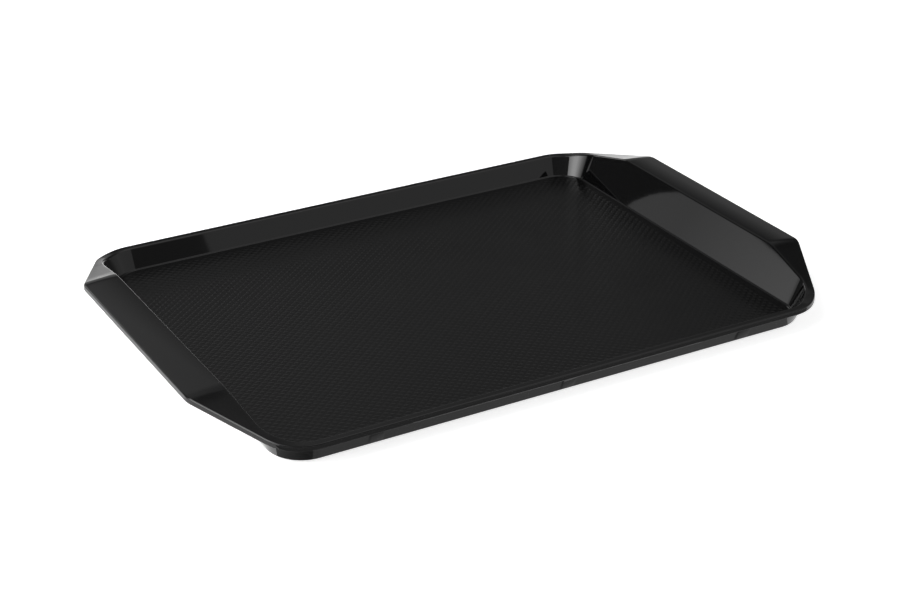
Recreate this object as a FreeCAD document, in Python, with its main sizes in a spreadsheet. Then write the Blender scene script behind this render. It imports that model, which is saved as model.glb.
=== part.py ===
import FreeCAD, Part
import math
import os

import Sketcher

# Serving tray with raised carrying handles at both short ends, one black polypropylene moulding.
# The moulding is kept as named regions that meet face to face: a floor, a foot, walls with draft,
# a rim with a turned-down lip, two handles, four corners and the stacking lugs.
# Frame: origin on the table under the tray's centre, +X along the length to the right handle,
# +Y to the back, +Z up. All sizes are in millimetres, angles in degrees.

DRIVING_SIZES = [
    ("tray_length", 450.0, "overall length over both handle lips"),
    ("tray_width", 310.0, "overall width over the long lips"),
    ("ridge_height", 31.5, "top of each end wall above the table"),
    ("rim_height", 17.7, "top of the long rims above the table"),
    ("floor_height", 4.1, "top of the floor above the table"),
    ("floor_thickness", 2.5, "thickness of the floor"),
    ("wall_thickness", 2.5, "wall thickness, square to its face"),
    ("wall_draft", 24.0, "lean of every wall from upright"),
    ("rim_width", 5.0, "flat width of the long rims"),
    ("flange_thickness", 2.2, "thickness of the rims and handles"),
    ("lip_height", 3.6, "how far the edge turns down"),
    ("lip_thickness", 1.8, "thickness of the turned-down lip"),
    ("lip_flare", 0.5, "how far the lip leans outwards"),
    ("handle_reach", 23.6, "ridge of the end wall to the handle's outer edge"),
    ("handle_half", 87.0, "half the straight length of a handle"),
    ("handle_fall", 1.9, "drop from the ridge to the handle's outer edge"),
    ("floor_corner", 21.4, "corner radius inside, at the floor"),
    ("rim_corner", 33.0, "corner radius of the rim's outer edge"),
    ("rim_corner_shift", 2.2, "how far its centre lies outside the floor corner's centre"),
    ("blend_angle", 50.0, "angle round a corner where the facet has come down to the rim"),
    ("foot_inset", 2.0, "how far the foot stands in from the line where the walls rise"),
    ("foot_width", 6.0, "width of the foot under the floor's edge"),
    ("foot_round", 0.8, "rounding of the foot's outer lower edge"),
    ("lug_width", 11.0, "width of a stacking lug"),
    ("lug_proud", 1.0, "how far a lug stands out from the wall"),
    ("lug_spacing", 132.5, "distance between lugs along the long wall"),
    ("lug_low", 4.1, "height of a lug's lower end"),
    ("lug_high", 12.5, "height of a lug's upper end"),
]

CORNER_STEPS = 12  # flat strips that make up a quarter turn
LUGS_A_SIDE = 3
RING_SHARE = 0.5  # a ring holds less than this share of the block it is cut from
CUT_MARGIN = 1.1  # how far a cut reaches past the wall it trims, as a share of its size

# Lengths that follow from the driving sizes, as expressions on the sheet
SPREAD = "tan(Sizes.wall_draft * 1 deg)"
WALL_RUN = "Sizes.wall_thickness / cos(Sizes.wall_draft * 1 deg)"
RIM_EDGE_Y = "(Sizes.tray_width / 2 - Sizes.lip_flare)"
HANDLE_EDGE_X = "(Sizes.tray_length / 2 - Sizes.lip_flare)"
RIM_INNER_Y = f"({RIM_EDGE_Y} - Sizes.rim_width)"
RIDGE_X = f"({HANDLE_EDGE_X} - Sizes.handle_reach)"
FLOOR_Y = f"({RIM_INNER_Y} - {SPREAD} * (Sizes.rim_height - Sizes.floor_height))"
FLOOR_X = f"({RIDGE_X} - {SPREAD} * (Sizes.ridge_height - Sizes.floor_height))"
CORNER_X = f"({FLOOR_X} - Sizes.floor_corner)"
CORNER_Y = f"({FLOOR_Y} - Sizes.floor_corner)"
FOOT_HEIGHT = "(Sizes.floor_height - Sizes.floor_thickness)"

doc = FreeCAD.newDocument("serving_tray")
sheet = doc.addObject("Spreadsheet::Sheet", "Sizes")
for row, (alias, number, meaning) in enumerate(DRIVING_SIZES, start=1):
    sheet.set(f"A{row}", meaning)
    sheet.set(f"B{row}", str(number))
    sheet.setAlias(f"B{row}", alias)
doc.recompute()

sub_parts = []


def value(expression):
    """Number that an expression on the sheet comes to."""
    result = sheet.evalExpression(expression)
    return float(getattr(result, "Value", result))


def size(alias):
    return float(sheet.get(alias))


def new_body(name, turn=0.0):
    """Body of one sub-part, turned about the upright axis by the given angle."""
    body = doc.addObject("PartDesign::Body", name)
    body.Label = name
    body.AllowCompound = True
    body.Placement = FreeCAD.Placement(
        FreeCAD.Vector(0, 0, 0), FreeCAD.Rotation(FreeCAD.Vector(0, 0, 1), turn)
    )
    sub_parts.append(body)
    return body


def new_sketch(body, name, plane, height=None):
    """Sketch on one of the body's own origin planes, raised by an expression if one is given."""
    sketch = body.newObject("Sketcher::SketchObject", f"{body.Name}_{name}")
    origin_plane = next(f for f in body.Origin.OriginFeatures if f.Role == plane)
    sketch.AttachmentSupport = [(origin_plane, "")]
    sketch.MapMode = "FlatFace"
    if height is not None:
        sketch.setExpression(".AttachmentOffset.Base.z", height)
    return sketch


def constrain(sketch, kind, geometry, point, expression):
    """Distance of a point from the sketch's origin, driven by an expression."""
    index = sketch.addConstraint(
        Sketcher.Constraint(kind, -1, 1, geometry, point, value(expression))
    )
    sketch.setExpression(f"Constraints[{index}]", expression)


def draw_outline(sketch, corners):
    """Closed outline of straight lines through corners given as pairs of expressions."""
    points = [FreeCAD.Vector(value(x), value(y), 0) for x, y in corners]
    first = sketch.GeometryCount
    count = len(points)
    for i in range(count):
        sketch.addGeometry(Part.LineSegment(points[i], points[(i + 1) % count]))
    for i in range(count):
        after = first + (i + 1) % count
        sketch.addConstraint(Sketcher.Constraint("Coincident", first + i, 2, after, 1))
    for i, (x, y) in enumerate(corners):
        constrain(sketch, "DistanceX", first + i, 1, x)
        constrain(sketch, "DistanceY", first + i, 1, y)


def draw_rounded_rectangle(sketch, half_x, half_y, radius):
    """Rectangle about the origin with four equal round corners, from three expressions."""
    hx, hy, r = value(half_x), value(half_y), value(radius)
    vector = FreeCAD.Vector
    sides = [
        (vector(-hx + r, hy, 0), vector(hx - r, hy, 0)),
        (vector(hx, hy - r, 0), vector(hx, -hy + r, 0)),
        (vector(hx - r, -hy, 0), vector(-hx + r, -hy, 0)),
        (vector(-hx, -hy + r, 0), vector(-hx, hy - r, 0)),
    ]
    centres = [
        vector(hx - r, hy - r, 0), vector(hx - r, -hy + r, 0),
        vector(-hx + r, -hy + r, 0), vector(-hx + r, hy - r, 0),
    ]
    starts = [0, -90, -180, -270]
    first = sketch.GeometryCount
    for start, end in sides:
        sketch.addGeometry(Part.LineSegment(start, end))
    for centre, start in zip(centres, starts):
        circle = Part.Circle(centre, vector(0, 0, 1), r)
        arc = Part.ArcOfCircle(circle, math.radians(start), math.radians(start + 90))
        sketch.addGeometry(arc)
    for i in range(4):
        line, arc, following = first + i, first + 4 + i, first + (i + 1) % 4
        sketch.addConstraint(Sketcher.Constraint("Tangent", line, 2, arc, 2))
        sketch.addConstraint(Sketcher.Constraint("Tangent", arc, 1, following, 1))
        sketch.addConstraint(Sketcher.Constraint("Horizontal" if i % 2 == 0 else "Vertical", line))
    for i in range(1, 4):
        sketch.addConstraint(Sketcher.Constraint("Equal", first + 4, first + 4 + i))
    radius_index = sketch.addConstraint(Sketcher.Constraint("Radius", first + 4, r))
    sketch.setExpression(f"Constraints[{radius_index}]", radius)
    constrain(sketch, "DistanceY", first, 1, half_y)
    constrain(sketch, "DistanceX", first + 1, 1, half_x)
    constrain(sketch, "DistanceY", first + 2, 1, f"-({half_y})")
    constrain(sketch, "DistanceX", first + 3, 1, f"-({half_x})")


def pad(body, sketch, name, length, symmetric=False):
    """Pad of a sketch by an expression, to one side or to both sides of it."""
    feature = body.newObject("PartDesign::Pad", f"{body.Name}_{name}")
    feature.Profile = sketch
    feature.setExpression("Length", length)
    if symmetric:
        feature.SideType = "Symmetric"
    return feature


def pocket_through(body, sketch, name):
    """Pocket that goes right through the body, to both sides of its sketch."""
    feature = body.newObject("PartDesign::Pocket", f"{body.Name}_{name}")
    feature.Profile = sketch
    feature.Type = "ThroughAll"
    feature.SideType = "Symmetric"
    return feature


def corner_angles():
    """Angles of the corner's sections, with one where the facet meets the level rim."""
    blend = size("blend_angle")
    falling_steps = round(CORNER_STEPS * blend / 90)
    level_steps = CORNER_STEPS - falling_steps
    falling = [blend * i / falling_steps for i in range(falling_steps)]
    level = [blend + (90 - blend) * i / level_steps for i in range(level_steps + 1)]
    return [math.radians(angle) for angle in falling + level]


def clear_floor_outline():
    """Line where the walls rise from the floor, its corners in the same straight strips."""
    points = []
    for side_x, side_y in (("", ""), ("-1 * ", ""), ("-1 * ", "-1 * "), ("", "-1 * ")):
        angles = corner_angles()
        if side_x != side_y:
            angles.reverse()
        for angle in angles:
            across = f"{side_x}({CORNER_X} + Sizes.floor_corner * {math.cos(angle):.12f})"
            along = f"{side_y}({CORNER_Y} + Sizes.floor_corner * {math.sin(angle):.12f})"
            points.append((across, along))
    return points


def add_floor_panel():
    """Flat floor inside the walls, which loads stand on."""
    body = new_body("floor_panel")
    sketch = new_sketch(body, "outline", "XY_Plane", height=FOOT_HEIGHT)
    draw_outline(sketch, clear_floor_outline())
    pad(body, sketch, "plate", "Sizes.floor_thickness")


def add_foot_ring():
    """Narrow foot all round under the floor, which keeps the floor off the table."""
    body = new_body("foot_ring")
    reaches = [FLOOR_X, FLOOR_Y, "Sizes.floor_corner"]
    outline = new_sketch(body, "outline", "XY_Plane")
    draw_rounded_rectangle(outline, *[f"{reach} - Sizes.foot_inset" for reach in reaches])
    block = pad(body, outline, "block", FOOT_HEIGHT)
    opening = new_sketch(body, "opening", "XY_Plane")
    inner = [f"{reach} - Sizes.foot_inset - Sizes.foot_width" for reach in reaches]
    draw_rounded_rectangle(opening, *inner)
    hollow = pocket_through(body, opening, "hollow")
    doc.recompute()
    if hollow.Shape.Volume > RING_SHARE * block.Shape.Volume:
        raise RuntimeError("the foot ring's pocket cut nothing")
    lower_face = min(
        range(len(hollow.Shape.Faces)), key=lambda i: hollow.Shape.Faces[i].CenterOfMass.z
    )
    outer_wire = hollow.Shape.Faces[lower_face].OuterWire
    names = [
        f"Edge{i + 1}" for i, edge in enumerate(hollow.Shape.Edges)
        if any(edge.isSame(other) for other in outer_wire.Edges)
    ]
    rounding = body.newObject("PartDesign::Fillet", "foot_ring_rounding")
    rounding.Base = (hollow, names)
    rounding.setExpression("Radius", "Sizes.foot_round")


def wall_section(floor_edge, top):
    """Leaning wall from the floor's underside up to a height, as seen along its length."""
    lean = f"{SPREAD} * ({top} - Sizes.floor_height)"
    return [
        (floor_edge, "Sizes.floor_height"),
        (floor_edge, FOOT_HEIGHT),
        (f"{floor_edge} + {WALL_RUN} - {SPREAD} * Sizes.floor_thickness", FOOT_HEIGHT),
        (f"{floor_edge} + {WALL_RUN} + {lean}", top),
        (f"{floor_edge} + {lean}", top),
    ]


def flange_section(inner_edge, inner_height, outer_edge, outer_height):
    """Rim or handle with its turned-down lip, resting on top of the wall."""
    wall_inside = f"{inner_edge} - {SPREAD} * Sizes.flange_thickness"
    underside = f"{inner_height} - Sizes.flange_thickness"
    lip_bottom = f"{outer_height} - Sizes.lip_height"
    return [
        (inner_edge, inner_height),
        (outer_edge, outer_height),
        (f"{outer_edge} + Sizes.lip_flare", lip_bottom),
        (f"{outer_edge} + Sizes.lip_flare - Sizes.lip_thickness", lip_bottom),
        (f"{outer_edge} - Sizes.lip_thickness", f"{outer_height} - Sizes.flange_thickness"),
        (f"{wall_inside} + {WALL_RUN}", underside),
        (wall_inside, underside),
    ]


def add_long_wall(name, turn):
    """Straight wall of a long side, between two corners."""
    body = new_body(name, turn)
    sketch = new_sketch(body, "section", "YZ_Plane")
    draw_outline(sketch, wall_section(FLOOR_Y, "(Sizes.rim_height - Sizes.flange_thickness)"))
    pad(body, sketch, "slab", f"2 * {CORNER_X}", symmetric=True)


def add_long_rim(name, turn):
    """Straight rim of a long side, between two corners."""
    body = new_body(name, turn)
    sketch = new_sketch(body, "section", "YZ_Plane")
    draw_outline(
        sketch, flange_section(RIM_INNER_Y, "Sizes.rim_height", RIM_EDGE_Y, "Sizes.rim_height")
    )
    pad(body, sketch, "strip", f"2 * {CORNER_X}", symmetric=True)


def add_end_wall(name, turn):
    """Tall wall of a short end, whose top falls towards both corners beyond the handle."""
    body = new_body(name, turn)
    top = "(Sizes.ridge_height - Sizes.flange_thickness)"
    sketch = new_sketch(body, "section", "XZ_Plane")
    draw_outline(sketch, wall_section(FLOOR_X, top))
    pad(body, sketch, "slab", f"2 * {CORNER_Y}", symmetric=True)
    fall = new_sketch(body, "fall", "YZ_Plane")
    corner_top = f"({ridge_edge_height_at_corner()} - Sizes.flange_thickness)"
    above = f"{top} * {CUT_MARGIN}"
    for side in ("", "-1 * "):
        beyond = f"{side}{CORNER_Y} * {CUT_MARGIN}"
        draw_outline(fall, [
            (f"{side}Sizes.handle_half", top),
            (f"{side}{CORNER_Y}", corner_top),
            (beyond, corner_top),
            (beyond, above),
            (f"{side}Sizes.handle_half", above),
        ])
    pocket_through(body, fall, "falling_top")


def add_handle(name, turn):
    """Straight part of a carrying handle: a sloping flange with a turned-down lip."""
    body = new_body(name, turn)
    sketch = new_sketch(body, "section", "XZ_Plane")
    edge_height = "(Sizes.ridge_height - Sizes.handle_fall)"
    draw_outline(sketch, flange_section(RIDGE_X, "Sizes.ridge_height", HANDLE_EDGE_X, edge_height))
    pad(body, sketch, "flange", "2 * Sizes.handle_half", symmetric=True)


def add_stacking_lugs(name, turn):
    """Row of lugs on the outer face of a long wall, which keep stacked trays apart."""
    body = new_body(name, turn)
    sketch = new_sketch(body, "section", "YZ_Plane", height="-Sizes.lug_spacing")
    low = f"{FLOOR_Y} + {WALL_RUN} + {SPREAD} * (Sizes.lug_low - Sizes.floor_height)"
    high = f"{FLOOR_Y} + {WALL_RUN} + {SPREAD} * (Sizes.lug_high - Sizes.floor_height)"
    draw_outline(sketch, [
        (low, "Sizes.lug_low"),
        (f"{low} + Sizes.lug_proud", "Sizes.lug_low"),
        (f"{high} + Sizes.lug_proud", "Sizes.lug_high"),
        (high, "Sizes.lug_high"),
    ])
    first = pad(body, sketch, "lug", "Sizes.lug_width", symmetric=True)
    row = body.newObject("PartDesign::LinearPattern", f"{name}_row")
    row.Originals = [first]
    row.Direction = (sketch, ["N_Axis"])
    row.Mode = "Spacing"
    row.setExpression("Offset", "Sizes.lug_spacing")
    row.Occurrences = LUGS_A_SIDE
    body.Tip = row


def ridge_path_length():
    """Length of the ridge's edge from the handle to where it has come down to the rim."""
    radius = f"(Sizes.floor_corner + {SPREAD} * (Sizes.rim_height - Sizes.floor_height))"
    return f"({CORNER_Y} - Sizes.handle_half + {radius} * Sizes.blend_angle * pi / 180)"


def ridge_edge_height_at_corner():
    """Height of the ridge's edge where the end wall meets its corner."""
    drop = "(Sizes.ridge_height - Sizes.rim_height)"
    share = f"({CORNER_Y} - Sizes.handle_half) / {ridge_path_length()}"
    return f"(Sizes.ridge_height - {drop} * {share})"


class Corner:
    """Edges of the rim round the back right corner, as seen from the floor corner's centre.

    Every section of the corner is an upright plane: first the handle's end, then a fan of
    planes about the corner's centre, from the end wall round to the long wall.
    """

    def __init__(self):
        self.centre = (value(CORNER_X), value(CORNER_Y))
        self.spread = value(SPREAD)
        self.wall_run = value(WALL_RUN)
        self.edge = (value(HANDLE_EDGE_X), size("handle_half"))
        self.edge_height = size("ridge_height") - size("handle_fall")
        self.radius = size("rim_corner")
        self.round_centre = (
            self.centre[0] + size("rim_corner_shift"), value(RIM_EDGE_Y) - self.radius
        )
        self.blend = math.radians(size("blend_angle"))
        self.slant = self.slant_direction()
        self.touch = (
            self.round_centre[0] + self.radius * math.cos(self.slant),
            self.round_centre[1] + self.radius * math.sin(self.slant),
        )
        self.outer_length = self.outer_path(self.blend)[1]

    def slant_direction(self):
        """Direction that the slanting edge faces, from the handle's end to the round corner."""
        across = self.edge[0] - self.round_centre[0]
        along = self.edge[1] - self.round_centre[1]
        reach = math.hypot(across, along)
        return math.atan2(along, across) + math.acos(self.radius / reach)

    def outer_path(self, angle):
        """Distance out to the rim's outer edge, and the edge's length up to there."""
        ux, uy = math.cos(angle), math.sin(angle)
        nx, ny = math.cos(self.slant), math.sin(self.slant)
        level = (self.touch[0] - self.centre[0]) * nx + (self.touch[1] - self.centre[1]) * ny
        out = level / (ux * nx + uy * ny)
        point = (self.centre[0] + out * ux, self.centre[1] + out * uy)
        slanting = math.dist(self.edge, self.touch)
        walked = math.dist(self.edge, point)
        if walked <= slanting and angle < self.slant:
            return out, walked
        dx = self.round_centre[0] - self.centre[0]
        dy = self.round_centre[1] - self.centre[1]
        middle = dx * ux + dy * uy
        out = middle + math.sqrt(middle ** 2 - dx ** 2 - dy ** 2 + self.radius ** 2)
        point = (self.centre[0] + out * ux, self.centre[1] + out * uy)
        if point[0] < self.round_centre[0]:
            out = (value(RIM_EDGE_Y) - self.centre[1]) / uy
        turned = math.atan2(point[1] - self.round_centre[1], point[0] - self.round_centre[0])
        return out, slanting + self.radius * (turned - self.slant)

    def inner_height(self, angle):
        """Height of the rim's inner edge at an angle round the corner."""
        if angle >= self.blend:
            return size("rim_height")
        start = value(ridge_edge_height_at_corner())
        return start + (size("rim_height") - start) * angle / self.blend

    def outer_height(self, angle):
        """Height of the rim's outer edge at an angle round the corner."""
        walked = self.outer_path(angle)[1]
        if angle >= self.blend or walked >= self.outer_length:
            return size("rim_height")
        drop = self.edge_height - size("rim_height")
        return self.edge_height - drop * walked / self.outer_length

    def flange(self, inner, inner_height, outer, outer_height):
        """Section of the rim with its lip: distances out and heights."""
        wall_inside = inner - self.spread * size("flange_thickness")
        underside = inner_height - size("flange_thickness")
        lip = outer + size("lip_flare")
        lip_bottom = outer_height - size("lip_height")
        return [
            (inner, inner_height),
            (outer, outer_height),
            (lip, lip_bottom),
            (lip - size("lip_thickness"), lip_bottom),
            (outer - size("lip_thickness"), outer_height - size("flange_thickness")),
            (wall_inside + self.wall_run, underside),
            (wall_inside, underside),
        ]

    def fan_flange(self, angle):
        height = self.inner_height(angle)
        inner = size("floor_corner") + self.spread * (height - size("floor_height"))
        return self.flange(inner, height, self.outer_path(angle)[0], self.outer_height(angle))

    def fan_wall(self, angle):
        foot = size("floor_corner")
        underside = size("floor_height") - size("floor_thickness")
        outer_foot = foot + self.wall_run - self.spread * size("floor_thickness")
        outer_top, inner_top = self.fan_flange(angle)[-2:]
        return [
            (foot, size("floor_height")),
            (foot, underside),
            (outer_foot, underside),
            outer_top,
            inner_top,
        ]

    def fan_wire(self, angle, section):
        """Section placed in the upright plane at an angle round the corner."""
        ux, uy = math.cos(angle), math.sin(angle)
        return closed_wire([
            FreeCAD.Vector(self.centre[0] + out * ux, self.centre[1] + out * uy, height)
            for out, height in section
        ])

    def handle_end_wire(self):
        """Section of the rim where the handle's straight part ends."""
        section = self.flange(
            value(RIDGE_X), size("ridge_height"), self.edge[0], self.edge_height
        )
        return closed_wire([FreeCAD.Vector(x, self.edge[1], z) for x, z in section])


def closed_wire(points):
    return Part.makePolygon(points + points[:1])


def strip_solid(wires):
    """Solid through a row of sections, with straight strips from each to the next."""
    return Part.Solid(Part.makeLoft(wires, True, True))


def add_corners():
    """Wall and rim of all four corners, each made once and mirrored."""
    corner = Corner()
    angles = corner_angles()
    wall = strip_solid([corner.fan_wire(a, corner.fan_wall(a)) for a in angles])
    rim = strip_solid(
        [corner.handle_end_wire()] + [corner.fan_wire(a, corner.fan_flange(a)) for a in angles]
    )
    middle = FreeCAD.Vector(0, 0, 0)
    for side_y, back in (("back", True), ("front", False)):
        for side_x, right in (("right", True), ("left", False)):
            for kind, solid in (("wall", wall), ("rim", rim)):
                shape = solid
                if not right:
                    shape = shape.mirror(middle, FreeCAD.Vector(1, 0, 0))
                if not back:
                    shape = shape.mirror(middle, FreeCAD.Vector(0, 1, 0))
                feature = doc.addObject("Part::Feature", f"{side_y}_{side_x}_{kind}_corner")
                feature.Label = feature.Name
                feature.Shape = shape
                feature.Placement = FreeCAD.Placement()
                sub_parts.append(feature)


add_floor_panel()
add_foot_ring()
for side, half_turn in (("back", 0.0), ("front", 180.0)):
    add_long_wall(f"{side}_wall", half_turn)
    add_long_rim(f"{side}_rim", half_turn)
    add_stacking_lugs(f"{side}_stacking_lugs", half_turn)
for side, half_turn in (("right", 0.0), ("left", 180.0)):
    add_end_wall(f"{side}_end_wall", half_turn)
    add_handle(f"{side}_handle", half_turn)
add_corners()
doc.recompute()

faults = [o.Label for o in doc.Objects if {"Invalid", "Error"} & set(o.State)]
faults += [p.Label for p in sub_parts if p.Shape.isNull() or not p.Shape.isValid()]
faults += [p.Label for p in sub_parts if not p.Shape.Solids]
if faults:
    raise RuntimeError(f"these did not build: {faults}")

os.makedirs("parts", exist_ok=True)
for sub_part in sub_parts:
    shape = sub_part.Shape
    shape.exportStep(f"parts/{sub_part.Label}.step")
    print(f"{sub_part.Label:26s} solids {len(shape.Solids)}  volume {shape.Volume:10.1f} mm3")
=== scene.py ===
import math
import bmesh
import bpy
from mathutils import Matrix, Vector


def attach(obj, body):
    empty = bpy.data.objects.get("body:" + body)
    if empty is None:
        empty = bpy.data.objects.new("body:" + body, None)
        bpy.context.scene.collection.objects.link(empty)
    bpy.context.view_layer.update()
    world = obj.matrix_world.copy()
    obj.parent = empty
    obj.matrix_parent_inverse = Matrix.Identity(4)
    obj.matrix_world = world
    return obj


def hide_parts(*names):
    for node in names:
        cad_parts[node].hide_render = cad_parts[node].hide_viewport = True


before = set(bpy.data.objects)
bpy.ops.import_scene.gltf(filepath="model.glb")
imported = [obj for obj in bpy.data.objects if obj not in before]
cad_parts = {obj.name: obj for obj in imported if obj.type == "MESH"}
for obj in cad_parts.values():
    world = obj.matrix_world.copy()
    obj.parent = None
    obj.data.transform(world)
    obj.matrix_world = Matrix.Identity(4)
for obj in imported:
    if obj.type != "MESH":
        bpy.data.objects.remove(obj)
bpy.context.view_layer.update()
mm = 0.001
print("frame loaded:", len(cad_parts), "nodes")

# the tray's sizes; lengths are in millimetres here and in the pieces' looks, angles in degrees
tray = {
    "rimHeight": 17.7,
    "ridgeHeight": 31.5,
    "floorHeight": 4.1,
    "floorThickness": 2.5,
    "wallThickness": 2.5,
    "wallLean": 24.0,  # from upright
    "flangeThickness": 2.2,
    "lipHeight": 3.6,
    "lipThickness": 1.8,
    "lipFlare": 0.5,
    "rimEdgeY": 154.5,
    "rimInnerY": 149.5,
    "handleEdgeX": 224.5,
    "handleReach": 23.6,
    "handleHalf": 87.0,
    "handleFall": 1.9,
    "floorCorner": 21.4,
    "rimCorner": 33.0,
    "rimCornerShift": 2.2,
    "blendAngle": 50.0,  # where the facet has come down to the level rim
}

spread = math.tan(math.radians(tray["wallLean"]))
wallRun = tray["wallThickness"] / math.cos(math.radians(tray["wallLean"]))
ridgeX = tray["handleEdgeX"] - tray["handleReach"]
floorY = tray["rimInnerY"] - spread * (tray["rimHeight"] - tray["floorHeight"])
floorX = ridgeX - spread * (tray["ridgeHeight"] - tray["floorHeight"])
cornerX = floorX - tray["floorCorner"]
cornerY = floorY - tray["floorCorner"]
underside = tray["floorHeight"] - tray["floorThickness"]


def deselectAll():
    if bpy.context.mode != "OBJECT":
        bpy.ops.object.mode_set(mode="OBJECT")
    bpy.ops.object.select_all(action="DESELECT")


def makeActive(piece):
    deselectAll()
    piece.select_set(True)
    bpy.context.view_layer.objects.active = piece


def editPiece(piece, mode="VERT"):
    makeActive(piece)
    bpy.ops.object.mode_set(mode="EDIT")
    bpy.ops.mesh.select_mode(type=mode)
    bpy.ops.mesh.select_all(action="DESELECT")


# selects only the verts, edges or faces that pass a test
def pick(piece, kind, test):
    work = bmesh.from_edit_mesh(piece.data)
    for part in getattr(work, kind):
        part.select = bool(test(part))
    work.select_flush_mode()
    bmesh.update_edit_mesh(piece.data)


# the same for points, by their place in millimetres
def pickVerts(piece, test):
    pick(piece, "verts", lambda vert: test(vert.co / mm))


# turns every face outwards and leaves edit mode
def finishEdit():
    bpy.ops.mesh.select_all(action="SELECT")
    bpy.ops.mesh.normals_make_consistent(inside=False)
    bpy.ops.object.mode_set(mode="OBJECT")


def applyModifiers(piece):
    makeActive(piece)
    for modifier in list(piece.modifiers):
        bpy.ops.object.modifier_apply(modifier=modifier.name)


def joinInto(piece, others):
    makeActive(piece)
    for other in others:
        other.select_set(True)
    bpy.ops.object.join()
    return piece


# puts the piece's place into its mesh
def settle(piece):
    makeActive(piece)
    bpy.ops.object.transform_apply(location=True, rotation=True, scale=True)


# the shell: walls, rims and handles as one skin, drawn as a section and swept

shellLook = {
    "bandWidth": 1.9,  # flat band round the floor, in from where the walls rise
    "cornerSteps": 36,
    "mouldRadii": {1: 0.6, 2: 1.6, 6: 0.95, 7: 0.85, 8: 0.85, 9: 0.4, 10: 0.8, 11: 3.0},  # by section point
    "radiusSteps": 5,
    "kinkHalf": 4.0,  # how far either side of a fold its rounding reaches
    "fadeHalf": 7.0,  # the same where a facet runs out into the rim
    "stationSlack": 0.05,  # how far off its station a point may lie
    "mirrorMerge": 0.01,  # points of the two halves this near become one
    "doublesMerge": 0.005,  # and then any other points this near
    # places along the handle where its section is set, from the corner to the middle
    "endSteps": [118, 113, 108, 103, 98, 94, 91, 89.7, 88.3, 87, 85.7, 84.3, 83, 80, 60, 40, 20, 0],
}


# 0 before a fold and the distance past it after, rounded over the fold itself
def softKink(walked, reach):
    if walked <= -reach:
        return 0.0
    if walked >= reach:
        return walked
    return (walked + reach) ** 2 / (4 * reach)


# the rim's outer edge in plan: straight handle, slanting edge, round corner
roundX = cornerX + tray["rimCornerShift"]
roundY = tray["rimEdgeY"] - tray["rimCorner"]
edgeDx = tray["handleEdgeX"] - roundX
edgeDy = tray["handleHalf"] - roundY
slant = math.atan2(edgeDy, edgeDx) + math.acos(tray["rimCorner"] / math.hypot(edgeDx, edgeDy))
touchX = roundX + tray["rimCorner"] * math.cos(slant)
touchY = roundY + tray["rimCorner"] * math.sin(slant)
slantLength = math.hypot(tray["handleEdgeX"] - touchX, tray["handleHalf"] - touchY)
slantRate = (tray["handleEdgeX"] - touchX) / (touchY - tray["handleHalf"])


# distance from the floor corner's centre to the rim's edge, and the edge's length to there
def edgeReach(angle):
    ux, uy = math.cos(angle), math.sin(angle)
    level = (touchX - cornerX) * math.cos(slant) + (touchY - cornerY) * math.sin(slant)
    reach = level / (ux * math.cos(slant) + uy * math.sin(slant))
    x, y = cornerX + reach * ux, cornerY + reach * uy
    walked = math.hypot(tray["handleEdgeX"] - x, tray["handleHalf"] - y)
    if walked <= slantLength and angle < slant:
        return reach, walked
    dx, dy = roundX - cornerX, roundY - cornerY
    along = dx * ux + dy * uy
    reach = along + math.sqrt(along ** 2 - dx ** 2 - dy ** 2 + tray["rimCorner"] ** 2)
    x, y = cornerX + reach * ux, cornerY + reach * uy
    if x < roundX:
        reach = (tray["rimEdgeY"] - cornerY) / uy
    turned = math.atan2(y - roundY, x - roundX)
    return reach, slantLength + tray["rimCorner"] * (turned - slant)


blend = math.radians(tray["blendAngle"])
innerRadius = tray["floorCorner"] + spread * (tray["rimHeight"] - tray["floorHeight"])
ridgeLength = cornerY - tray["handleHalf"] + innerRadius * blend
outerLength = edgeReach(blend)[1]


# share of the drop from handle to rim after a distance along an edge
def fallen(walked, length):
    down = softKink(walked, shellLook["kinkHalf"])
    past = softKink(walked - length, shellLook["fadeHalf"])
    return (down - past) / length


# heights of the rim's inner and outer edge, and how much its top is crowned
def rimAt(innerWalked, outerWalked):
    drop = tray["ridgeHeight"] - tray["rimHeight"]
    edgeHeight = tray["ridgeHeight"] - tray["handleFall"]
    inner = tray["ridgeHeight"] - drop * fallen(innerWalked, ridgeLength)
    outer = edgeHeight - (edgeHeight - tray["rimHeight"]) * fallen(outerWalked, outerLength)
    crown = 1 - min(1, softKink(innerWalked, shellLook["kinkHalf"]) / 2 / shellLook["kinkHalf"])
    return inner, outer, crown


# distances out and heights of the shell's section, numbered round it from the floor
def sectionPoints(floorLine, inner, outer, reach, crown):
    wallTop = floorLine + spread * (inner - tray["floorHeight"])
    lipFoot = reach + tray["lipFlare"]
    lipBottom = outer - tray["lipHeight"]
    points = [
        (floorLine - shellLook["bandWidth"], tray["floorHeight"]),
        (floorLine, tray["floorHeight"]),
        (wallTop, inner),
    ]
    for share in (0.25, 0.5, 0.75):  # the handle's top is slightly crowned
        bent = crown * share ** 2 + (1 - crown) * share
        points.append((wallTop + (reach - wallTop) * share, inner + (outer - inner) * bent))
    underTop = inner - tray["flangeThickness"]
    points += [
        (reach, outer),
        (lipFoot, lipBottom),
        (lipFoot - tray["lipThickness"], lipBottom),
        (reach - tray["lipThickness"], outer - tray["flangeThickness"]),
        (wallTop - spread * tray["flangeThickness"] + wallRun, underTop),
        (floorLine + wallRun - spread * tray["floorThickness"], underside),
        (floorLine - shellLook["bandWidth"], underside),
    ]
    return points


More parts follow.
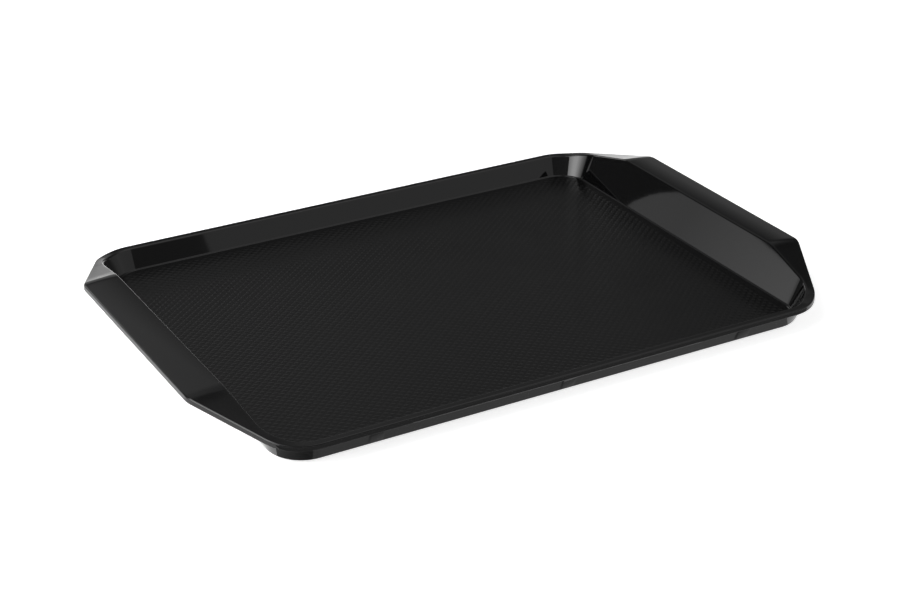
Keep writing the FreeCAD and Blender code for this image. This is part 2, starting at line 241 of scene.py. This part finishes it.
# closed line in the upright plane x = 0, drawn point by point
def drawSection(name, points):
    bpy.ops.mesh.primitive_plane_add(size=mm, location=(0, 0, 0))
    piece = bpy.context.object
    piece.name = name
    bpy.ops.object.mode_set(mode="EDIT")
    bpy.ops.mesh.select_all(action="SELECT")
    bpy.ops.mesh.merge(type="CENTER")
    y, z = points[0]
    bpy.ops.transform.translate(value=(0, y * mm, z * mm))
    for nextY, nextZ in points[1:]:
        step = (0, (nextY - y) * mm, (nextZ - z) * mm)
        bpy.ops.mesh.extrude_vertices_move(TRANSFORM_OT_translate={"value": step})
        y, z = nextY, nextZ
    pick(piece, "verts", lambda vert: len(vert.link_edges) == 1)
    bpy.ops.mesh.edge_face_add()
    bpy.ops.object.mode_set(mode="OBJECT")
    numbers = piece.data.attributes.new("sectionPoint", "INT", "POINT")
    for vert in piece.data.vertices:
        place = (vert.co.y / mm, vert.co.z / mm)
        numbers.data[vert.index].value = min(range(len(points)), key=lambda i: math.dist(points[i], place))
    return piece


# moves each point of one station's section to where it belongs there
def moveStation(piece, onStation, place, points):
    bpy.ops.mesh.select_all(action="DESELECT")
    work = bmesh.from_edit_mesh(piece.data)
    layer = work.verts.layers.int["sectionPoint"]
    found = [vert for vert in work.verts if onStation(vert.co / mm)]
    for vert in found:
        target = place(*points[vert[layer]])
        shift = target * mm - vert.co
        if shift.length < 1e-8:
            continue
        vert.select = True
        work.select_flush_mode()
        bpy.ops.transform.translate(value=shift)
        vert.select = False


def buildShell():
    slack = shellLook["stationSlack"]
    long = sectionPoints(floorY, tray["rimHeight"], tray["rimHeight"], tray["rimEdgeY"], 0)
    shell = drawSection("tray_shell", long)
    editPiece(shell)
    bpy.ops.mesh.select_all(action="SELECT")
    bpy.ops.mesh.extrude_edges_move(TRANSFORM_OT_translate={"value": (cornerX * mm, 0, 0)})
    bpy.ops.mesh.spin(
        steps=shellLook["cornerSteps"], angle=math.pi / 2,
        center=(cornerX * mm, cornerY * mm, 0), axis=(0, 0, 1), use_auto_merge=True,
    )
    y = cornerY
    for nextY in shellLook["endSteps"]:
        step = (0, (nextY - y) * mm, 0)
        bpy.ops.mesh.extrude_edges_move(TRANSFORM_OT_translate={"value": step})
        y = nextY
    for step in range(shellLook["cornerSteps"]):
        angle = math.radians(90 * step / shellLook["cornerSteps"])
        walked = cornerY - tray["handleHalf"] + innerRadius * angle
        reach, edgeWalked = edgeReach(angle)
        inner, outer, crown = rimAt(walked, edgeWalked)
        points = sectionPoints(tray["floorCorner"], inner, outer, reach, crown)
        ux, uy = math.cos(angle), math.sin(angle)

        def onStation(co, ux=ux, uy=uy):
            dx, dy = co.x - cornerX, co.y - cornerY
            beside = abs(dx * uy - dy * ux)
            return dx * ux + dy * uy > 1 and beside < slack and co.y > cornerY - 2 * slack

        def place(out, height, ux=ux, uy=uy):
            return Vector((cornerX + out * ux, cornerY + out * uy, height))

        moveStation(shell, onStation, place, points)
    for y in shellLook["endSteps"]:
        beyond = y - tray["handleHalf"]
        reach = tray["handleEdgeX"] - slantRate * softKink(beyond, shellLook["kinkHalf"])
        edgeWalked = beyond * math.hypot(1, slantRate) if beyond > 0 else beyond
        inner, outer, crown = rimAt(beyond, edgeWalked)
        points = sectionPoints(floorX, inner, outer, reach, crown)
        moveStation(
            shell,
            lambda co, y=y: abs(co.y - y) < slack and co.x > cornerX + 1,
            lambda out, height, y=y: Vector((out, y, height)),
            points,
        )
    bpy.ops.object.mode_set(mode="OBJECT")
    mirror = shell.modifiers.new("both halves", "MIRROR")
    mirror.use_axis = (True, True, False)
    mirror.merge_threshold = shellLook["mirrorMerge"] * mm
    applyModifiers(shell)
    editPiece(shell)
    bpy.ops.mesh.select_all(action="SELECT")
    bpy.ops.mesh.remove_doubles(threshold=shellLook["doublesMerge"] * mm)
    finishEdit()
    print("shell swept:", len(shell.data.vertices), "points")
    return shell


# rounds the long edges, each by the radius the mould gives it
def roundShell(shell):
    tangents = {}
    wall = 90 - tray["wallLean"]
    turns = {1: wall, 2: wall, 6: 82, 7: 90, 8: 90, 9: 90, 10: wall, 11: wall}  # degrees the skin turns there
    for point, radius in shellLook["mouldRadii"].items():
        tangents[point] = radius * math.tan(math.radians(turns[point] / 2))
    widest = max(tangents.values())
    mesh = shell.data
    numbers = [item.value for item in mesh.attributes["sectionPoint"].data]
    weights = mesh.attributes.new("bevel_weight_edge", "FLOAT", "EDGE")
    for edge in mesh.edges:
        a, b = (numbers[v] for v in edge.vertices)
        if a == b and a in tangents:
            weights.data[edge.index].value = tangents[a] / widest
    bevel = shell.modifiers.new("moulded edges", "BEVEL")
    bevel.limit_method = "WEIGHT"
    bevel.offset_type = "OFFSET"
    bevel.width = widest * mm
    bevel.segments = shellLook["radiusSteps"]
    bevel.use_clamp_overlap = False
    applyModifiers(shell)
    bpy.ops.object.shade_smooth()
    even = shell.modifiers.new("even shading", "WEIGHTED_NORMAL")
    even.mode = "FACE_AREA"
    even.weight = 80
    applyModifiers(shell)
    print("shell rounded:", len(shell.data.polygons), "faces")


shell = buildShell()
roundShell(shell)


# the floor: a slab with staggered raised diamonds

floorLook = {
    "diamondPitchX": 6.25,
    "diamondPitchY": 5.26,
    "diamondHalfX": 2.75,
    "diamondHalfY": 2.3,
    "topShare": 0.42,  # size of a diamond's flat top against its foot
    "raised": 0.115,
    "sunk": 0.06,  # how far its foot lies below the floor's height
    "plainEdge": 0.2,  # left plain inside the slab's edge
    "overlap": 0.05,  # how far the slab runs into the shell's band
    "slabSunk": 0.02,  # how far its faces lie inside the band's
}


def roundedSlab(name, halfX, halfY, radius, top, thickness):
    bpy.ops.mesh.primitive_plane_add(size=2 * mm, location=(0, 0, top * mm))
    piece = bpy.context.object
    piece.name = name
    piece.scale = (halfX, halfY, 1)
    settle(piece)
    editPiece(piece)
    bpy.ops.mesh.select_all(action="SELECT")
    bpy.ops.mesh.bevel(
        offset=radius * mm, segments=shellLook["cornerSteps"], affect="VERTICES", clamp_overlap=False
    )
    bpy.ops.mesh.select_all(action="SELECT")
    bpy.ops.mesh.extrude_region_move(TRANSFORM_OT_translate={"value": (0, 0, -thickness * mm)})
    finishEdit()
    return piece


def insideOutline(x, y, halfX, halfY, radius):
    dx = max(abs(x) - (halfX - radius), 0)
    dy = max(abs(y) - (halfY - radius), 0)
    return math.hypot(dx, dy) <= radius


def buildFloor():
    look = floorLook
    slabX = floorX - shellLook["bandWidth"]
    slabY = floorY - shellLook["bandWidth"]
    corner = tray["floorCorner"] - shellLook["bandWidth"]
    overlap = look["overlap"]
    slab = roundedSlab(
        "tray_floor", slabX + overlap, slabY + overlap, corner + overlap,
        tray["floorHeight"] - look["slabSunk"], tray["floorThickness"] - 2 * look["slabSunk"],
    )
    countX = int(slabX // look["diamondPitchX"])
    countY = int(slabY // look["diamondPitchY"])
    height = look["raised"] + look["sunk"]
    middle = tray["floorHeight"] - look["sunk"] + height / 2
    fields = []
    for offset in (0, 0.5):
        startX = (offset - countX) * look["diamondPitchX"]
        startY = (offset - countY) * look["diamondPitchY"]
        bpy.ops.mesh.primitive_cone_add(
            vertices=4, radius1=mm, radius2=look["topShare"] * mm, depth=height * mm,
            location=(startX * mm, startY * mm, middle * mm),
        )
        field = bpy.context.object
        field.scale = (look["diamondHalfX"], look["diamondHalfY"], 1)
        settle(field)
        for axis, pitch, count in ((0, look["diamondPitchX"], countX), (1, look["diamondPitchY"], countY)):
            row = field.modifiers.new("row", "ARRAY")
            row.count = 2 * count + (1 if offset == 0 else 0)
            row.use_relative_offset = False
            row.use_constant_offset = True
            row.constant_offset_displace = [pitch * mm if i == axis else 0 for i in range(3)]
        applyModifiers(field)
        fields.append(field)
    field = joinInto(fields[0], fields[1:])
    marginX, marginY = look["diamondHalfX"] + look["plainEdge"], look["diamondHalfY"] + look["plainEdge"]
    mesh = field.data
    cone = 8  # points in one diamond
    dropped = set()
    for first in range(0, len(mesh.vertices), cone):
        points = [mesh.vertices[first + i].co for i in range(cone)]
        x = sum(p.x for p in points) / cone / mm
        y = sum(p.y for p in points) / cone / mm
        if not insideOutline(x, y, slabX - marginX, slabY - marginY, max(1, corner - marginX)):
            dropped.update(range(first, first + cone))
    editPiece(field)
    pick(field, "verts", lambda vert: vert.index in dropped)
    bpy.ops.mesh.delete(type="VERT")
    bpy.ops.object.mode_set(mode="OBJECT")
    print("diamonds:", len(field.data.vertices) // cone)
    return joinInto(slab, [field])


trayFloor = buildFloor()


# the foot: a narrow ring set in under the floor

footLook = {"inset": 2.0, "width": 6.0, "round": 0.8, "sunk": 0.02}


def isLevel(face):
    return abs(face.normal.z) > 0.9


def buildFoot():
    foot = roundedSlab(
        "foot_ring_moulded", floorX - footLook["inset"], floorY - footLook["inset"],
        tray["floorCorner"] - footLook["inset"], underside + footLook["sunk"], underside + footLook["sunk"],
    )
    editPiece(foot, "FACE")
    pick(foot, "faces", isLevel)
    bpy.ops.mesh.inset(thickness=footLook["width"] * mm, use_individual=True)
    bpy.ops.mesh.bridge_edge_loops()
    bpy.ops.mesh.select_mode(type="EDGE")
    bpy.ops.mesh.select_all(action="DESELECT")

    # the ring's lower edges, between a level face and an upright one
    def isLowEdge(edge):
        low = all(vert.co.z < 0.1 * mm for vert in edge.verts)
        sides = [isLevel(face) for face in edge.link_faces]
        return low and len(sides) == 2 and sides[0] != sides[1]

    pick(foot, "edges", isLowEdge)
    bpy.ops.mesh.bevel(offset=footLook["round"] * mm, segments=4, affect="EDGES", clamp_overlap=False)
    finishEdit()
    bpy.ops.object.shade_smooth_by_angle(angle=math.radians(40))
    return foot


foot = buildFoot()


# the stacking lugs

lugLook = {
    "width": 11.0,
    "proud": 1.0,
    "spacing": 132.5,
    "low": 4.1,
    "high": 12.5,
    "flank": 1.1,  # how much each side slants in
    "root": 0.6,  # how far it runs into the wall
    "edge": 0.35,
}


# three lugs on one long wall, drawn at the middle and copied to both sides
def buildLugs(name, side):
    look = lugLook
    depth = look["proud"] + look["root"]
    height = look["high"] - look["low"]
    wallFoot = floorY + wallRun
    middleY = side * (wallFoot + look["proud"] - depth / 2)
    bpy.ops.mesh.primitive_cube_add(size=mm, location=(0, middleY * mm, (look["low"] + height / 2) * mm))
    lug = bpy.context.object
    lug.name = name
    lug.scale = (look["width"], depth, height)
    settle(lug)
    editPiece(lug)
    pickVerts(lug, lambda co: co.z > look["low"] + 1)
    bpy.ops.transform.translate(value=(0, side * spread * height * mm, 0))
    face = wallFoot + look["proud"]
    pickVerts(lug, lambda co: abs(co.y) > face - 0.01 + spread * (co.z - look["low"]))
    bpy.ops.transform.resize(value=((look["width"] - 2 * look["flank"]) / look["width"], 1, 1))
    finishEdit()
    soft = lug.modifiers.new("soft edges", "BEVEL")
    soft.width = look["edge"] * mm
    soft.segments = 3
    applyModifiers(lug)
    bpy.ops.object.shade_smooth_by_angle(angle=math.radians(35))
    copies = []
    for step in (-1, 1):
        makeActive(lug)
        bpy.ops.object.duplicate()
        copy = bpy.context.object
        bpy.ops.transform.translate(value=(step * look["spacing"] * mm, 0, 0))
        settle(copy)
        copies.append(copy)
    return joinInto(lug, copies)


frontLugs = buildLugs("front_stacking_lugs_moulded", -1)
backLugs = buildLugs("back_stacking_lugs_moulded", 1)
print("lugs and foot built")


# materials

# sRGB hex colour as linear
def fromHex(code):
    parts = [int(code[i:i + 2], 16) / 255 for i in (0, 2, 4)]
    linear = [p / 12.92 if p <= 0.04045 else ((p + 0.055) / 1.055) ** 2.4 for p in parts]
    return (*linear, 1)


# adds a node, sets its values and links its inputs to other nodes' outputs
def addNode(tree, kind, settings=None, links=None):
    node = tree.nodes.new(kind)
    for key, value in (settings or {}).items():
        if isinstance(key, str) and hasattr(node, key):
            setattr(node, key, value)
        else:
            node.inputs[key].default_value = value
    for key, source in (links or {}).items():
        tree.links.new(source, node.inputs[key])
    return node


def newMaterial(name):
    material = bpy.data.materials.new(name)
    material.use_nodes = True
    material.node_tree.nodes.clear()
    return material, material.node_tree


plasticLook = {
    "black": "080809",
    "blackWorn": "0b0b0b",
    "ior": 1.49,
    "flowMm": 38.0,  # slow swirls in the melt's flow
    "flowHeightMm": 0.05,
    "grainMm": 0.55,  # the mould's skin, drawn coarse enough to show
    "grainHeightMm": 0.01,
}
glossFinish = {"roughness": (0.025, 0.04), "waviness": 0.3, "grain": 0.015, "specular": 0.5}
# the texture scatters part of the reflection, so the specular level is lower
satinFinish = {"roughness": (0.17, 0.22), "waviness": 0.2, "grain": 0.5, "specular": 0.4}


# injection moulded polypropylene: near black, gloss set by the polish of the mould
def blackPlastic(name, finish):
    material, tree = newMaterial(name)
    place = addNode(tree, "ShaderNodeTexCoord").outputs["Object"]
    flow = addNode(tree, "ShaderNodeTexNoise", {
        "Scale": 1 / (plasticLook["flowMm"] * mm), "Detail": 3.0, "Roughness": 0.5}, {"Vector": place})
    fine = addNode(tree, "ShaderNodeTexNoise", {
        "Scale": 1 / (plasticLook["grainMm"] * mm), "Detail": 4.0, "Roughness": 0.6}, {"Vector": place})
    tint = addNode(tree, "ShaderNodeMix", {"data_type": "RGBA"}, {"Factor": flow.outputs["Fac"]})
    tint.inputs[6].default_value = fromHex(plasticLook["black"])
    tint.inputs[7].default_value = fromHex(plasticLook["blackWorn"])
    smoothest, roughest = finish["roughness"]
    gloss = addNode(tree, "ShaderNodeMapRange", {
        "From Min": 0.3, "From Max": 0.7, "To Min": smoothest, "To Max": roughest},
        {"Value": flow.outputs["Fac"]})
    swell = addNode(tree, "ShaderNodeBump", {
        "Strength": finish["waviness"], "Distance": plasticLook["flowHeightMm"] * mm},
        {"Height": flow.outputs["Fac"]})
    skin = addNode(tree, "ShaderNodeBump", {
        "Strength": finish["grain"], "Distance": plasticLook["grainHeightMm"] * mm},
        {"Height": fine.outputs["Fac"], "Normal": swell.outputs["Normal"]})
    plastic = addNode(tree, "ShaderNodeBsdfPrincipled", {
        "IOR": plasticLook["ior"], "Specular IOR Level": finish["specular"]}, {
        "Base Color": tint.outputs[2], "Roughness": gloss.outputs["Result"],
        "Normal": skin.outputs["Normal"]})
    addNode(tree, "ShaderNodeOutputMaterial", None, {"Surface": plastic.outputs["BSDF"]})
    return material


# polished walls and rims: a deep black mirror that waves slowly with the melt's flow
glossBlack = blackPlastic("black polypropylene, polished mould", glossFinish)
# satin floor: a soft grey sheen that breaks up over the diamonds
satinBlack = blackPlastic("black polypropylene, satin mould", satinFinish)

walls = [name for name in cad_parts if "wall" in name]
rims = [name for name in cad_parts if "rim" in name or "handle" in name]
for piece, material, slot, nodes in (
    (shell, glossBlack, "tray_gloss", walls + rims),
    (foot, glossBlack, "tray_gloss", ["foot_ring"]),
    (frontLugs, glossBlack, "tray_gloss", ["front_stacking_lugs"]),
    (backLugs, glossBlack, "tray_gloss", ["back_stacking_lugs"]),
    (trayFloor, satinBlack, "tray_floor", ["floor_panel"]),
):
    piece.data.materials.clear()
    piece.data.materials.append(material)
    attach(piece, "root")
    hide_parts(*nodes)
print("materials given")


# studio: pale table, soft boxes and cards, and a dim curtain, in metres and degrees; a level of 1 is white

studio = {
    "tableSize": 12.0,
    "tableColour": (0.9, 0.9, 0.9, 1),
    "tableDrop": 0.0001,  # just under the foot
    "tableWhite": 0.8,  # added for the camera and reflections, so the table is white
    "worldLight": 0.12,
    "curtainRadius": 30.0,
    "curtainFoot": 1.0,  # degrees above the table
    # light by height and by turn round the set; behind and in front of it, and high up
    "backByHeight": [(2, 0.6), (5, 0.25), (15, 0.25), (24, 0.07), (30, 0.25), (55, 0.25), (60, 0.1)],
    "backByTurn": [(10, 0), (35, 0.3), (47, 0.9), (60, 0.8), (70, 1.1), (85, 1.5), (120, 0.4), (155, 0)],
    "highByHeight": [(45, 0), (65, 0.7)],
    "highByTurn": [(-60, 0.5), (0, 1), (40, 1), (60, 0.1), (125, 0.1), (150, 0.5)],
    "frontByTurn": [
        (-180, 0.25), (-140, 0.2), (-70, 0.15), (-30, 0.45), (-10, 0.45), (30, 0), (150, 0), (160, 0.2),
    ],
}


# the same light all the way across
def evenly(level):
    return [(0, level), (1, level)]


# each card: middle of its lower edge, the way it faces, size in metres, light across it from left to right
cards = {
    "left_soft_box": {
        "foot": (-1.13, 0.04, 0.27), "faces": 10, "width": 1.45, "height": 0.53, "round": 0.05,
        "levels": [(0, 3.5), (0.3, 6.5), (0.45, 6.5), (0.75, 2.5), (1, 0.5)],
    },
    "low_card": {
        "foot": (-0.766, 0.788, -0.1), "faces": -46, "width": 0.51, "height": 0.34, "round": 0.11,
        "levels": [(0, 2.2), (0.85, 0.7), (1, 0.7)],
    },
    "back_strip": {
        "foot": (-2.1, 9.8, 3.5), "faces": -78, "width": 3.6, "height": 2.4, "round": 0.5,
        "levels": evenly(2.5),
    },
    "back_low_shade": {
        "foot": (-2.7, 9.6, -0.05), "faces": -75, "width": 7.6, "height": 2.1, "round": 0.3,
        "levels": evenly(0.1),
    },
    "front_card": {
        "foot": (0.774, -0.487, 0.02), "faces": 111, "width": 1.2, "height": 1.2, "round": 0.02,
        "levels": evenly(0.55),
    },
}
topBox = {"from": (-1.7, -0.5), "to": (-0.5, 0.7), "height": 1.6, "levels": evenly(3.6)}

# shade on the table near the tray: two corners, its height, light across it from left to right
shades = {
    "front_shade": {
        "from": (-0.26, -0.34), "to": (0.26, -0.168), "height": 0.0001, "levels": evenly(0.37),
    },
    "left_corner_shade": {
        "from": (-0.215, -0.168), "to": (-0.105, -0.13), "height": 0.0001,
        "levels": [(0, 0.6), (0.35, 0.15), (1, 0.35)],
    },
    "right_corner_shade": {
        "from": (0.105, -0.168), "to": (0.175, -0.139), "height": 0.0001, "levels": evenly(0.35),
    },
    "foot_shade": {
        "from": (-0.172, -0.154), "to": (0.175, -0.139), "height": 0.0002, "levels": evenly(0.4),
    },
}


# turns a node's output into light levels, straight from stop to stop
def rampOf(tree, source, stops):
    node = addNode(tree, "ShaderNodeValToRGB", None, {0: source})
    line = node.color_ramp
    while len(line.elements) < len(stops):
        line.elements.new(0.5)
    for stop, (spot, _) in zip(line.elements, sorted(stops)):
        stop.position = spot
    for stop, (_, level) in zip(line.elements, sorted(stops)):
        stop.color = (level, level, level, 1)
    return node.outputs["Color"]


def hideFromCamera(piece, lightsTable):
    piece.visible_camera = False
    piece.visible_transmission = False
    piece.visible_shadow = False
    piece.visible_diffuse = lightsTable


def buildTable():
    bpy.ops.mesh.primitive_plane_add(size=studio["tableSize"], location=(0, 0, -studio["tableDrop"]))
    table = bpy.context.object
    table.name = "table"
    material, tree = newMaterial("white matt laminate")
    paper = addNode(tree, "ShaderNodeBsdfDiffuse", {"Color": studio["tableColour"]})
    seen = seenRays(tree)
    shine = addNode(tree, "ShaderNodeMath", {"operation": "MULTIPLY", 1: studio["tableWhite"]}, {0: seen})
    glow = addNode(tree, "ShaderNodeEmission", None, {"Strength": shine.outputs[0]})
    both = addNode(tree, "ShaderNodeAddShader", None, {0: paper.outputs[0], 1: glow.outputs[0]})
    # seen from below the table is clear, so the tray's underside can be looked at
    side = addNode(tree, "ShaderNodeNewGeometry")
    clear = addNode(tree, "ShaderNodeBsdfTransparent")
    shown = addNode(tree, "ShaderNodeMixShader", None,
                    {0: side.outputs["Backfacing"], 1: both.outputs[0], 2: clear.outputs[0]})
    addNode(tree, "ShaderNodeOutputMaterial", None, {"Surface": shown.outputs[0]})
    table.data.materials.append(material)


# 1 for what the camera sees straight, in a reflection or through something
def seenRays(tree):
    path = addNode(tree, "ShaderNodeLightPath")
    first = addNode(tree, "ShaderNodeMath", {"operation": "MAXIMUM"},
                    {0: path.outputs["Is Camera Ray"], 1: path.outputs["Is Glossy Ray"]})
    both = addNode(tree, "ShaderNodeMath", {"operation": "MAXIMUM"},
                   {0: first.outputs[0], 1: path.outputs["Is Transmission Ray"]})
    return both.outputs[0]


def buildWorld():
    world = bpy.data.worlds.new("studio")
    bpy.context.scene.world = world
    world.use_nodes = True
    tree = world.node_tree
    tree.nodes.clear()
    light = addNode(tree, "ShaderNodeBackground", {"Strength": studio["worldLight"]})
    white = addNode(tree, "ShaderNodeBackground", {"Strength": 1.0})
    for node in (light, white):
        node.inputs["Color"].default_value = (1, 1, 1, 1)
    mixed = addNode(tree, "ShaderNodeMixShader", None,
                    {0: seenRays(tree), 1: light.outputs[0], 2: white.outputs[0]})
    addNode(tree, "ShaderNodeOutputWorld", None, {"Surface": mixed.outputs[0]})


# dim curtain round the set, seen only in reflections; it leaves the horizon white
def buildCurtain():
    radius = studio["curtainRadius"]
    bpy.ops.mesh.primitive_uv_sphere_add(segments=72, ring_count=180, radius=radius, location=(0, 0, 0))
    curtain = bpy.context.object
    curtain.name = "studio_curtain"
    editPiece(curtain)
    foot = radius * math.sin(math.radians(studio["curtainFoot"])) / mm
    pickVerts(curtain, lambda co: co.z < foot)
    bpy.ops.mesh.delete(type="VERT")
    bpy.ops.object.mode_set(mode="OBJECT")
    material, tree = newMaterial("grey curtain")
    place = addNode(tree, "ShaderNodeTexCoord").outputs["Object"]
    split = addNode(tree, "ShaderNodeSeparateXYZ", None, {0: place})
    height = addNode(tree, "ShaderNodeMath", {"operation": "DIVIDE", 1: radius}, {0: split.outputs["Z"]})
    turn = addNode(tree, "ShaderNodeTexGradient", {"gradient_type": "RADIAL"}, {"Vector": place})
    ramps = {}
    for key in ("backByHeight", "highByHeight"):
        ramps[key] = rampOf(tree, height.outputs[0], [
            (math.sin(math.radians(up)), level) for up, level in studio[key]])
    for key in ("backByTurn", "highByTurn", "frontByTurn"):
        ramps[key] = rampOf(tree, turn.outputs["Fac"], [
            (degrees / 360 + 0.5, level) for degrees, level in studio[key]])
    low = addNode(tree, "ShaderNodeMath", {"operation": "MULTIPLY_ADD"},
                  {0: ramps["backByHeight"], 1: ramps["backByTurn"], 2: ramps["frontByTurn"]})
    whole = addNode(tree, "ShaderNodeMath", {"operation": "MULTIPLY_ADD"},
                    {0: ramps["highByHeight"], 1: ramps["highByTurn"], 2: low.outputs[0]})
    glow = addNode(tree, "ShaderNodeEmission", None, {"Strength": whole.outputs[0]})
    addNode(tree, "ShaderNodeOutputMaterial", None, {"Surface": glow.outputs[0]})
    curtain.data.materials.append(material)
    hideFromCamera(curtain, False)


# a card's own light, brighter or dimmer across its width
def glowAcross(piece, width, levels):
    material, tree = newMaterial(piece.name.replace("_", " "))
    place = addNode(tree, "ShaderNodeTexCoord").outputs["Object"]
    split = addNode(tree, "ShaderNodeSeparateXYZ", None, {0: place})
    across = addNode(tree, "ShaderNodeMath", {"operation": "MULTIPLY_ADD", 1: 1 / width, 2: 0.5},
                     {0: split.outputs["X"]})
    glow = addNode(tree, "ShaderNodeEmission", None, {"Strength": rampOf(tree, across.outputs[0], levels)})
    addNode(tree, "ShaderNodeOutputMaterial", None, {"Surface": glow.outputs[0]})
    piece.data.materials.append(material)


# upright card with rounded corners that faces the tray
def uprightCard(name, card):
    x, y, z = card["foot"]
    bpy.ops.mesh.primitive_plane_add(size=1, location=(0, 0, 0))
    piece = bpy.context.object
    piece.name = name
    piece.scale = (card["width"], card["height"], 1)
    settle(piece)
    editPiece(piece)
    bpy.ops.mesh.select_all(action="SELECT")
    bpy.ops.mesh.bevel(offset=card["round"], segments=8, affect="VERTICES", clamp_overlap=False)
    bpy.ops.object.mode_set(mode="OBJECT")
    piece.rotation_euler = (math.pi / 2, 0, math.radians(card["faces"] + 90))
    piece.location = (x, y, z + card["height"] / 2)
    glowAcross(piece, card["width"], card["levels"])
    hideFromCamera(piece, True)


# level card between two corners, at its own height
def flatCard(name, card, lightsTable):
    (x0, y0), (x1, y1) = card["from"], card["to"]
    bpy.ops.mesh.primitive_plane_add(size=1, location=((x0 + x1) / 2, (y0 + y1) / 2, card["height"]))
    piece = bpy.context.object
    piece.name = name
    piece.scale = (x1 - x0, y1 - y0, 1)
    glowAcross(piece, 1, card["levels"])
    hideFromCamera(piece, lightsTable)


# angles in degrees, distance and target in metres, lens in millimetres
def addCamera():
    view = {"azimuth": -29.50, "elevation": 26.22, "roll": -0.09, "distance": 1.30863,
            "target": (0.00122, 0.00124, 0), "lens": 77.65}
    azimuth, elevation, roll = (math.radians(view[key]) for key in ("azimuth", "elevation", "roll"))
    back = Vector((
        math.sin(azimuth) * math.cos(elevation), -math.cos(azimuth) * math.cos(elevation),
        math.sin(elevation),
    ))
    right = (-back).cross(Vector((0, 0, 1))).normalized()
    up = right.cross(-back)
    right, up = (right * math.cos(roll) + up * math.sin(roll),
                 up * math.cos(roll) - right * math.sin(roll))
    turn = Matrix((right, up, back)).transposed().to_4x4()
    turn.translation = Vector(view["target"]) + back * view["distance"]
    bpy.ops.object.camera_add()
    camera = bpy.context.object
    camera.matrix_world = turn
    camera.data.lens = view["lens"]
    camera.data.sensor_width = 36
    bpy.context.scene.camera = camera


buildTable()
buildWorld()
buildCurtain()
for name, card in cards.items():
    uprightCard(name, card)
flatCard("top_soft_box", topBox, True)
for name, shade in shades.items():
    flatCard(name, shade, False)
addCamera()
bpy.context.scene.view_settings.view_transform = "Standard"
print("studio ready")
